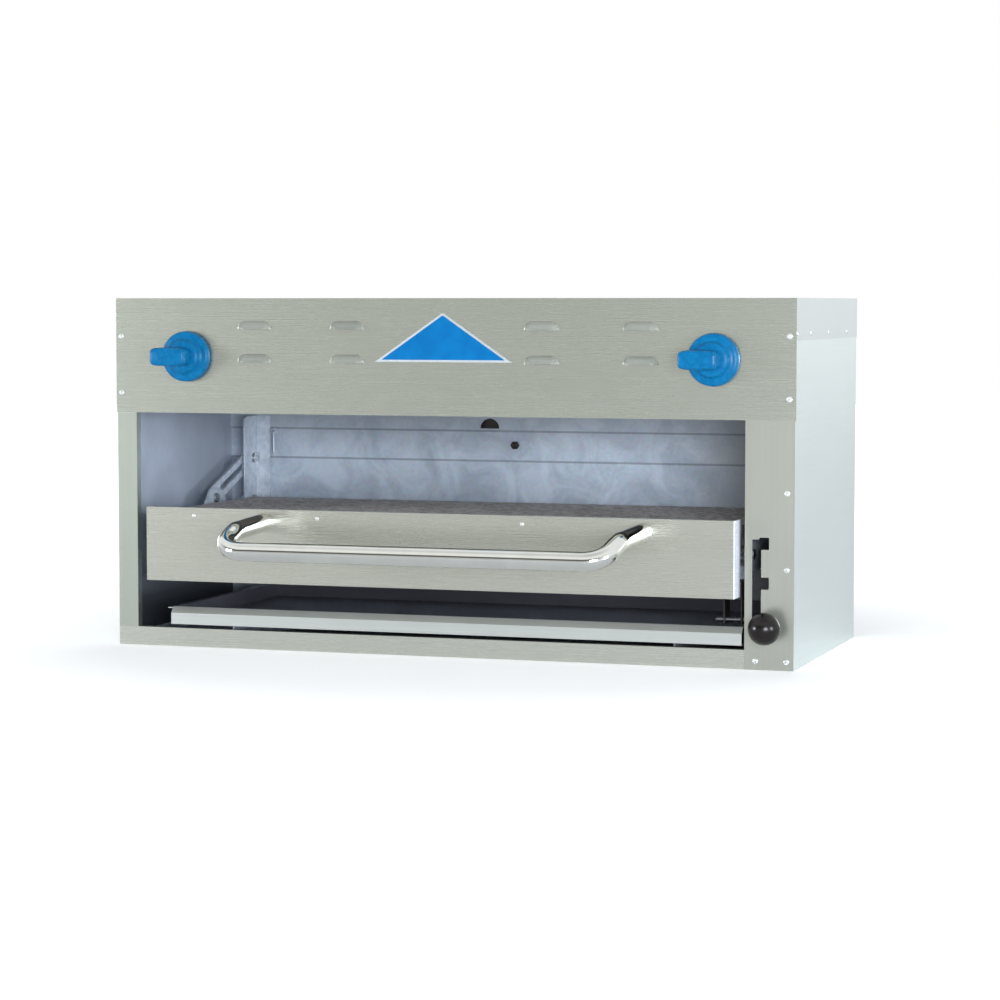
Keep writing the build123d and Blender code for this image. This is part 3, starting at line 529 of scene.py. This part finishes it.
def triangle_ring(inset, out, base_half=0.0925, foot=0.3765, high=0.0632, corner=0.0012, per_side=24):
    """The badge's outline, moved in by inset and out from the panel.

    The triangle is scaled about its incentre by (r - inset)/r, where r is its inradius, and each
    corner is cut back by a short chord.
    """
    a, b, c = np.array([-base_half, foot]), np.array([base_half, foot]), np.array([0.0, foot + high])
    sides = np.array([np.linalg.norm(b - c), np.linalg.norm(a - c), np.linalg.norm(a - b)])
    middle = (sides[0] * a + sides[1] * b + sides[2] * c) / sides.sum()
    inradius = base_half * 2 * high / sides.sum()
    ends = np.array([a, b, c])
    nexts = np.roll(ends, -1, axis=0)
    step = (nexts - ends) / np.linalg.norm(nexts - ends, axis=1)[:, None]
    share = np.linspace(0, 1, per_side)[None, :, None]
    starts, stops = ends + step * corner, nexts - step * corner
    edge = starts[:, None, :] * (1 - share) + stops[:, None, :] * share
    edge = middle + (edge.reshape(-1, 2) - middle) * (inradius - inset) / inradius
    return np.stack([edge[:, 0], np.full(len(edge), front - out), edge[:, 1]], axis=-1)


# inset from the outline and height above the panel, first of the rim's rings, then of the field's
rim_profile = ((0, 0.0), (0, 0.0011), (0.0003, 0.0014), (0.0022, 0.0016), (0.0029, 0.0013))
field_profile = ((0.0029, 0.0013), (0.0034, 0.00125), (0.010, 0.0013), (0.0195, 0.0013))
plate_edge = np.stack([triangle_ring(inset, out) for inset, out in rim_profile])
field_rings = [triangle_ring(inset, out) for inset, out in field_profile]
field_centre = np.repeat(field_rings[-1].mean(axis=0)[None, :], len(field_rings[-1]), axis=0)
field = np.stack(field_rings + [field_centre])
plate_sheets = [(plate_edge, 0, True), (field, 1, True)]
badge_plate = surface_piece("badge_plate", plate_sheets, [badge_rim, blue_enamel], smooth=False)
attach(badge_plate, "casing")
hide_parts("badge")

# ---------------------------------------------------------------- burners and gas parts
# Pressed steel burner boxes with black vitreous enamel, cordierite tiles with fine drilled ports,
# black iron pipe and brass valves.
def plain_metal(
    name, light, dark, grit_mm, roughness, metallic=1.0, coat=0.0, relief=0.15, specular=0.5
):
    """A plain cast, plated or moulded finish: two tones mixed by noise of grit_mm, with its relief."""
    material = start_material(name)
    place = add_node(material, "TexCoord")
    grit = add_node(
        material,
        "TexNoise",
        {"Scale": 1000.0 / grit_mm, "Detail": 5.0, "Roughness": 0.6},
        {"Vector": place.outputs["Object"]},
    )
    tone = two_tones(material, grit.outputs["Fac"], linear(dark), linear(light), (0.35, 0.65))
    matt = add_node(
        material,
        "MapRange",
        {
            "From Min": 0.3,
            "From Max": 0.7,
            "To Min": max(roughness - 0.06, 0.02),
            "To Max": roughness + 0.08,
        },
        {"Value": grit.outputs["Fac"]},
    )
    bumps = add_node(
        material,
        "Bump",
        {"Strength": relief, "Distance": 0.0003},
        {"Height": grit.outputs["Fac"]},
    )
    surface = add_node(
        material,
        "BsdfPrincipled",
        {
            "Metallic": metallic,
            "Coat Weight": coat,
            "Coat Roughness": 0.1,
            "Specular IOR Level": specular,
        },
        {
            "Base Color": tone.outputs["Color"],
            "Roughness": matt.outputs["Result"],
            "Normal": bumps.outputs["Normal"],
        },
    )
    add_node(material, "OutputMaterial", {}, {"Surface": surface.outputs["BSDF"]})
    return material


burner_enamel = plain_metal(
    "black_vitreous_enamel",
    "#3A3836",
    "#232120",
    8.0,
    0.3,
    metallic=0.0,
    coat=0.3,
)
give(burner_enamel, "burner_body_left", "burner_body_right", "venturi_left", "venturi_right")
black_iron = plain_metal("black_iron_pipe", "#46423E", "#2C2926", 2.5, 0.5, metallic=0.9)
give(black_iron, "gas_manifold", "latch_bracket", "liner_bolt")
valve_brass = plain_metal("cast_brass", "#C9A664", "#A98543", 1.6, 0.34)
give(valve_brass, "valve_bodies", "pilot_burner", "pilot_tube")

tile_ceramic = start_material("cordierite_tile")
place = add_node(tile_ceramic, "TexCoord")
# the burner ports, shown as dark dots on a Voronoi grid of their pitch: painted shade for the drilled
# holes
port_pitch_mm = 1.9
ports = add_node(
    tile_ceramic,
    "TexVoronoi",
    {"Scale": 1000.0 / port_pitch_mm, "Randomness": 0.0},
    {"Vector": place.outputs["Object"]},
)
glow = add_node(
    tile_ceramic,
    "TexNoise",
    {"Scale": 30.0, "Detail": 4.0},
    {"Vector": place.outputs["Object"]},
)
tone = two_tones(tile_ceramic, glow.outputs["Fac"], linear("#B3A48E"), linear("#DCD3C2"))
port_shade = add_node(
    tile_ceramic,
    "MapRange",
    {"From Min": 0.25, "From Max": 0.4, "To Min": 0.7, "To Max": 0.0},
    {"Value": ports.outputs["Distance"]},
)
colour = add_node(
    tile_ceramic,
    "Mix",
    {"data_type": "RGBA", 7: linear("#4B4138")},
    {0: port_shade.outputs["Result"], 6: tone.outputs["Color"]},
)
surface = add_node(
    tile_ceramic,
    "BsdfPrincipled",
    {"Roughness": 0.85},
    {"Base Color": colour.outputs[2]},
)
add_node(tile_ceramic, "OutputMaterial", {}, {"Surface": surface.outputs["BSDF"]})
give(tile_ceramic, "burner_tiles")

# ---------------------------------------------------------------- gas knobs
# Blue moulded phenolic knobs: a round skirt, a low boss and a thick grip bar with rounded edges,
# each pushed on a steel stem. The gloss is uneven from handling.
blue_plastic = start_material("blue_moulded_plastic")
place = add_node(blue_plastic, "TexCoord")
wear = add_node(
    blue_plastic,
    "TexNoise",
    {"Scale": 120.0, "Detail": 5.0, "Roughness": 0.6},
    {"Vector": place.outputs["Object"]},
)
tone = two_tones(blue_plastic, wear.outputs["Fac"], linear("#025E8D"), linear("#046B9B"), (0.35, 0.65))
matt = add_node(
    blue_plastic,
    "MapRange",
    {"From Min": 0.3, "From Max": 0.7, "To Min": 0.22, "To Max": 0.34},
    {"Value": wear.outputs["Fac"]},
)
skin = add_node(
    blue_plastic,
    "Bump",
    {"Strength": 0.05, "Distance": 0.0003},
    {"Height": wear.outputs["Fac"]},
)
surface = add_node(
    blue_plastic,
    "BsdfPrincipled",
    {"Specular IOR Level": 0.16},
    {
        "Base Color": tone.outputs["Color"],
        "Roughness": matt.outputs["Result"],
        "Normal": skin.outputs["Normal"],
    },
)
add_node(blue_plastic, "OutputMaterial", {}, {"Surface": surface.outputs["BSDF"]})


def squared_ring(centre_x, centre_z, out, wide, high, square):
    """A ring |x/wide|^n + |z/high|^n = 1 with n = square, so 2 is an ellipse and 6 a rounded bar."""
    turn = np.linspace(0, 2 * np.pi, 96, endpoint=False)
    x = wide * np.sign(np.cos(turn)) * np.abs(np.cos(turn)) ** (2 / square)
    z = high * np.sign(np.sin(turn)) * np.abs(np.sin(turn)) ** (2 / square)
    return np.stack([centre_x + x, np.full_like(x, front - out), centre_z + z], axis=-1)


knob_inset, knob_z, grip_shift = 0.103, 0.382, -0.013
for side, hand in (("left", -1), ("right", 1)):
    x, z = hand * (half - knob_inset), knob_z
    # out from the panel, half width, half height, squareness
    skirt = [
        (0.0025, 0.0330, 0.0330, 2),
        (0.0040, 0.0330, 0.0330, 2),
        (0.0092, 0.0325, 0.0325, 2),
        (0.0107, 0.0317, 0.0317, 2),
        (0.0115, 0.0300, 0.0300, 2),
        (0.0118, 0.0270, 0.0270, 2),
        (0.0122, 0.0240, 0.0240, 2),
        (0.0140, 0.0224, 0.0224, 2),
        (0.0170, 0.0214, 0.0214, 2),
        (0.0185, 0.0204, 0.0204, 2),
        (0.0193, 0.0184, 0.0184, 2),
        (0.0195, 0.0150, 0.0150, 2),
        (0.0195, 0.0004, 0.0004, 2),
    ]
    skirt_rings = np.stack([squared_ring(x, z, *ring) for ring in skirt])
    bore = ((0.0025, 0.0330, 0.0330, 2), (0.0025, 0.00405, 0.00405, 2), (0.0100, 0.00405, 0.00405, 2))
    back_rings = np.stack([squared_ring(x, z, *ring) for ring in bore])
    grip = [
        (0.0090, 0.0249, 0.0124, 5),
        (0.0250, 0.0245, 0.0121, 5),
        (0.0370, 0.0242, 0.0118, 5),
        (0.0390, 0.0236, 0.0112, 4.6),
        (0.0400, 0.0222, 0.0100, 4.2),
        (0.0404, 0.0200, 0.0082, 4),
        (0.0405, 0.0004, 0.0004, 4),
    ]
    grip_rings = np.stack([squared_ring(x + grip_shift, z, *ring) for ring in grip])
    sheets = [(rings, 0, True) for rings in (skirt_rings, back_rings, grip_rings)]
    knob = surface_piece("gas_knob_" + side, sheets, [blue_plastic])
    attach(knob, "knob_turn_" + side)
    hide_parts("knob_" + side)
give(zinc_head, "valve_stem_left", "valve_stem_right")

# ---------------------------------------------------------------- lift linkage and carriage
# Flat steel arms, angle brackets and lipped rails, zinc plated and dulled by heat.
# They turn and roll on plain turned pins and rollers.
zinc_plate = plain_metal("dull_zinc_plate", "#D2DAE2", "#AEB8C2", 14.0, 0.4, metallic=0.3)
give(
    zinc_plate,
    "arm_bracket_left",
    "arm_bracket_right",
    "upper_arm_left",
    "upper_arm_right",
    "lower_arm_left",
    "lower_arm_right",
    "carriage_rail_left",
    "carriage_rail_right",
    "carriage_cross_bars",
    "liner_clip",
)
turned_steel = plain_metal("turned_steel", "#B9BBBC", "#8D9092", 3.0, 0.28)
give(
    turned_steel,
    "bracket_pins",
    "carriage_pins",
    "roller_axles",
    "rack_axles",
    "track_rollers",
    "rack_rollers",
)

# ---------------------------------------------------------------- broil rack
# The rack is welded from bar and wire, nickel plated and darkened by fat.
# Its front panel is ground stainless steel.
rack_wire = plain_metal("browned_nickel_wire", "#C2C1C1", "#8F8884", 9.0, 0.42, metallic=0.3)
give(rack_wire, "rack_grid", "rack_frame")
# a pale strip 11 mm wide at its right end, a painted highlight where the end is lit
lit_end_x, lit_end_reach = 0.39, 0.0055
panel_steel = ground_steel(
    "ground_stainless_rack",
    "#C9C9BD",
    "#C6C6BA",
    x_axis,
    1.4,
    0.27,
    170.0,
    patch=(x_axis, lit_end_x, lit_end_reach, "#F4F8FF", 0.0),
)
give(panel_steel, "rack_front_panel")


def round_head(centre, radius=0.0026, high=0.0012):
    """A rivet's dome: height is high*(1 - (r/R)^2)^0.5."""
    turn = np.linspace(0, 2 * np.pi, 32, endpoint=False)
    r, t = np.meshgrid(np.sin(np.linspace(0, np.pi / 2, 9)), turn, indexing="ij")
    height = high * np.sqrt(np.clip(1 - r**2, 0, 1))
    return np.stack(
        [centre[0] + radius * r * np.cos(t), centre[1] - height, centre[2] + radius * r * np.sin(t)],
        axis=-1,
    )


face_out, rivet_z = 0.020, 0.1745
face_y = front - face_out
rivets = [(round_head((x, face_y, rivet_z)), 0, True) for x in (-0.338, -0.165, 0.112)]
panel_rivet_heads = surface_piece("panel_rivet_heads", rivets, [zinc_head])
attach(panel_rivet_heads, "rack")
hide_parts("panel_rivets")

# ---------------------------------------------------------------- handle
# A bow of 24 mm steel tube, chrome plated. Each leg dips at a knee, then turns into the bar.
# Two bolts hold it from behind, through the panel.
chrome = start_material("bright_chrome_plate")
place = add_node(chrome, "TexCoord")
haze = add_node(chrome, "TexNoise", {"Scale": 40.0, "Detail": 4.0}, {"Vector": place.outputs["Object"]})
tone = two_tones(chrome, haze.outputs["Fac"], linear("#D8D9D5"), linear("#EBECE8"))
matt = add_node(
    chrome,
    "MapRange",
    {"From Min": 0.35, "From Max": 0.7, "To Min": 0.05, "To Max": 0.11},
    {"Value": haze.outputs["Fac"]},
)
surface = add_node(
    chrome,
    "BsdfPrincipled",
    {"Metallic": 1.0},
    {"Base Color": tone.outputs["Color"], "Roughness": matt.outputs["Result"]},
)
add_node(chrome, "OutputMaterial", {}, {"Surface": surface.outputs["BSDF"]})


def rounded_route(corners, radius, arc_steps=24, run_steps=10):
    """Points along straight runs joined by arcs.

    An arc of that radius starts radius*tan(bend/2) before its corner.
    """
    corners = [np.array(c, float) for c in corners]
    route, last = [], corners[0]
    for before, corner, after in zip(corners, corners[1:], corners[2:]):
        u = (corner - before) / np.linalg.norm(corner - before)
        v = (after - corner) / np.linalg.norm(after - corner)
        bend = math.acos(float(u @ v))
        start = corner - u * radius * math.tan(bend / 2)
        inward = v - u * float(u @ v)
        inward /= np.linalg.norm(inward)
        turn = np.linspace(0, bend, arc_steps)[:, None]
        arc = start + radius * (u * np.sin(turn) + inward * (1 - np.cos(turn)))
        run = np.linspace(0, 1, run_steps, endpoint=False)[:, None]
        route.append(last + (start - last) * run)
        route.append(arc[:-1])
        last = arc[-1]
    run = np.linspace(0, 1, run_steps)[:, None]
    route.append(last + (corners[-1] - last) * run)
    return np.concatenate(route)


def tube(route, radius, up=(0.0, 0.0, 1.0), around=40):
    """A round tube of circle points radius*(side cos t + top sin t), both square to the route."""
    ahead = np.gradient(route, axis=0)
    ahead /= np.linalg.norm(ahead, axis=1)[:, None]
    side = np.cross(ahead, np.array(up, float))
    side /= np.linalg.norm(side, axis=1)[:, None]
    top = np.cross(side, ahead)
    turn = np.linspace(0, 2 * np.pi, around, endpoint=False)[None, :, None]
    return route[:, None, :] + radius * (
        side[:, None, :] * np.cos(turn) + top[:, None, :] * np.sin(turn)
    )


tube_radius, bend_radius = 0.012, 0.030
knee_y, bar_y = face_y - 0.085, face_y - 0.128
leg_z, knee_z, bar_z = 0.168, 0.163, 0.1415
bow_corners = [
    (-0.241, face_y, leg_z),
    (-0.243, knee_y, knee_z),
    (-0.249, bar_y, bar_z),
    (0.251, bar_y, bar_z),
    (0.264, knee_y, knee_z),
    (0.269, face_y, leg_z),
]
bow_tube = tube(rounded_route(bow_corners, bend_radius), tube_radius)
# both ends lie flat on the panel
bow_tube[0, :, 1] = face_y
bow_tube[-1, :, 1] = face_y
handle_bow = surface_piece("handle_bow", [(bow_tube, 0, True)], [chrome])
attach(handle_bow, "rack")
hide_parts("handle")
give(zinc_head, "handle_bolts")

# ---------------------------------------------------------------- height latch
# A bent steel rod that lies in the notched slot.
# It ends in a dark phenolic ball with a moulded neck.
rod_steel = plain_metal("bright_drawn_rod", "#B5B8BA", "#909496", 5.0, 0.3)
give(rod_steel, "latch_rod")
dark_phenolic = plain_metal(
    "dark_moulded_phenolic",
    "#1E1A19",
    "#141110",
    18.0,
    0.2,
    metallic=0.0,
    relief=0.03,
    specular=0.3,
)
give(dark_phenolic, "ball_knob")

# ---------------------------------------------------------------- drip tray
# A folded stainless steel tray that slides out under the rack.
# Its lip stays bright, and all behind the lip is a dull dark grey, a painted shade for the dark under
# the rack.
inside_y, inside_reach = 0.1, 0.2838
tray_steel = ground_steel(
    "tray_stainless",
    "#DCE0DC",
    "#D5D9D5",
    x_axis,
    1.8,
    0.32,
    patch=(y_axis, inside_y, inside_reach, "#55555E", 0.0),
)
give(tray_steel, "drip_tray")

# ---------------------------------------------------------------- studio
# A white floor and a white surround, lit by three soft boxes.
# Shiny metal mirrors a room in front of the object instead of the plain white.
world = bpy.data.worlds.new("studio_surround")
bpy.context.scene.world = world
world.use_nodes = True
world.node_tree.nodes.clear()
rays = add_node(world, "LightPath")
seen = add_node(
    world,
    "Math",
    {"operation": "MAXIMUM"},
    {0: rays.outputs["Is Camera Ray"], 1: rays.outputs["Is Transmission Ray"]},
)
look = add_node(world, "TexCoord")
way = add_node(world, "SeparateXYZ", {}, {"Vector": look.outputs["Generated"]})
# the mirrored room, from the horizon up: grey wall, dark band, bright ceiling
hall = two_tones(world, way.outputs["Z"], (0.62, 0.62, 0.60, 1.0), (0.45, 0.45, 0.46, 1.0))
for at, grey in ((0.14, 0.60), (0.22, 0.12), (0.40, 0.10), (0.50, 1.0), (0.78, 1.0)):
    step = hall.color_ramp.elements.new(at)
    step.color = (grey, grey, 0.97 * grey, 1.0)
rearward = add_node(
    world,
    "MapRange",
    {"From Min": -0.45, "From Max": 0.25},
    {"Value": way.outputs["Y"]},
)
rightward = add_node(
    world,
    "MapRange",
    {"From Min": 0.55, "From Max": 0.85},
    {"Value": way.outputs["X"]},
)
bright = add_node(
    world,
    "Math",
    {"operation": "MAXIMUM"},
    {0: rearward.outputs["Result"], 1: rightward.outputs["Result"]},
)
mirrored = add_node(
    world,
    "Mix",
    {"data_type": "RGBA", 7: (0.97, 0.99, 1.0, 1.0)},
    {0: bright.outputs[0], 6: hall.outputs["Color"]},
)
gloss = add_node(world, "Background", {"Strength": 1.0}, {"Color": mirrored.outputs[2]})
soft = add_node(world, "Background", {"Color": linear("#F2F5F8"), "Strength": 0.5})
white = add_node(world, "Background", {"Color": linear("#FFFFFF"), "Strength": 1.0})
lit = add_node(
    world,
    "MixShader",
    {},
    {0: rays.outputs["Is Glossy Ray"], 1: soft.outputs["Background"], 2: gloss.outputs["Background"]},
)
both = add_node(
    world,
    "MixShader",
    {},
    {0: seen.outputs[0], 1: lit.outputs["Shader"], 2: white.outputs["Background"]},
)
add_node(world, "OutputWorld", {}, {"Surface": both.outputs["Shader"]})

floor_white = start_material("matt_white_floor")
rays = add_node(floor_white, "LightPath")
place = add_node(floor_white, "TexCoord")
away = add_node(floor_white, "VectorMath", {"operation": "LENGTH"}, {0: place.outputs["Object"]})
# to the camera the floor is plain white from 1.3 m out, and nearer it keeps the object's shadow
fade = add_node(
    floor_white,
    "MapRange",
    {"From Min": 0.5, "From Max": 1.3, "To Min": 0.3, "To Max": 1.0},
    {"Value": away.outputs["Value"]},
)
glow = add_node(
    floor_white,
    "Math",
    {"operation": "MULTIPLY"},
    {0: fade.outputs["Result"], 1: rays.outputs["Is Camera Ray"]},
)
paint = add_node(floor_white, "BsdfDiffuse", {"Color": linear("#F6F7F7")})
lift = add_node(floor_white, "Emission", {"Color": linear("#FFFFFF")}, {"Strength": glow.outputs[0]})
both = add_node(floor_white, "AddShader", {}, {0: paint.outputs["BSDF"], 1: lift.outputs["Emission"]})
add_node(floor_white, "OutputMaterial", {}, {"Surface": both.outputs["Shader"]})
floor_radius, floor_z = 9.0, -0.0005
reach = np.linspace(0, floor_radius, 10)
turn = np.linspace(0, 2 * np.pi, 64, endpoint=False)
r, t = np.meshgrid(reach, turn, indexing="ij")
disc = np.stack([r * np.cos(t), r * np.sin(t), np.full_like(r, floor_z)], axis=-1)
floor = surface_piece("floor", [(disc, 0, True)], [floor_white])


def soft_box(name, place, aim, wide, high, power, colour):
    """A rectangular lamp at place, facing aim."""
    lamp = bpy.data.lights.new(name, "AREA")
    lamp.shape = "RECTANGLE"
    lamp.size, lamp.size_y = wide, high
    lamp.energy = power
    lamp.color = linear(colour)[:3]
    holder = bpy.data.objects.new(name, lamp)
    holder.location = place
    holder.rotation_euler = (Vector(aim) - Vector(place)).to_track_quat("-Z", "Y").to_euler()
    bpy.context.scene.collection.objects.link(holder)


middle = (0.0, 0.0, 0.2)
soft_box("key_box", (3.4, -1.5, 0.5), middle, 1.0, 0.8, 50.0, "#EEF4FF")
soft_box("fill_box", (1.7, -3.1, 0.4), middle, 1.2, 0.9, 95.0, "#F0F5FF")
soft_box("left_box", (-3.2, -2.2, 0.45), middle, 1.2, 0.9, 80.0, "#F4F8FF")

# a long lens 3.8 m away, to the right and level with the casing's top
camera_data = bpy.data.cameras.new("camera")
camera_data.lens = 102.15
camera_data.sensor_width = 36.0
camera = bpy.data.objects.new("camera", camera_data)
camera.location = (1.1981, -3.5952, 0.4523)
swing, pitch = math.radians(-18.234), math.radians(-3.98)
ahead = Vector((math.sin(swing) * math.cos(pitch), math.cos(swing) * math.cos(pitch), math.sin(pitch)))
camera.rotation_euler = ahead.to_track_quat("-Z", "Y").to_euler()
bpy.context.scene.collection.objects.link(camera)
bpy.context.scene.camera = camera
bpy.context.scene.view_settings.view_transform = "Standard"
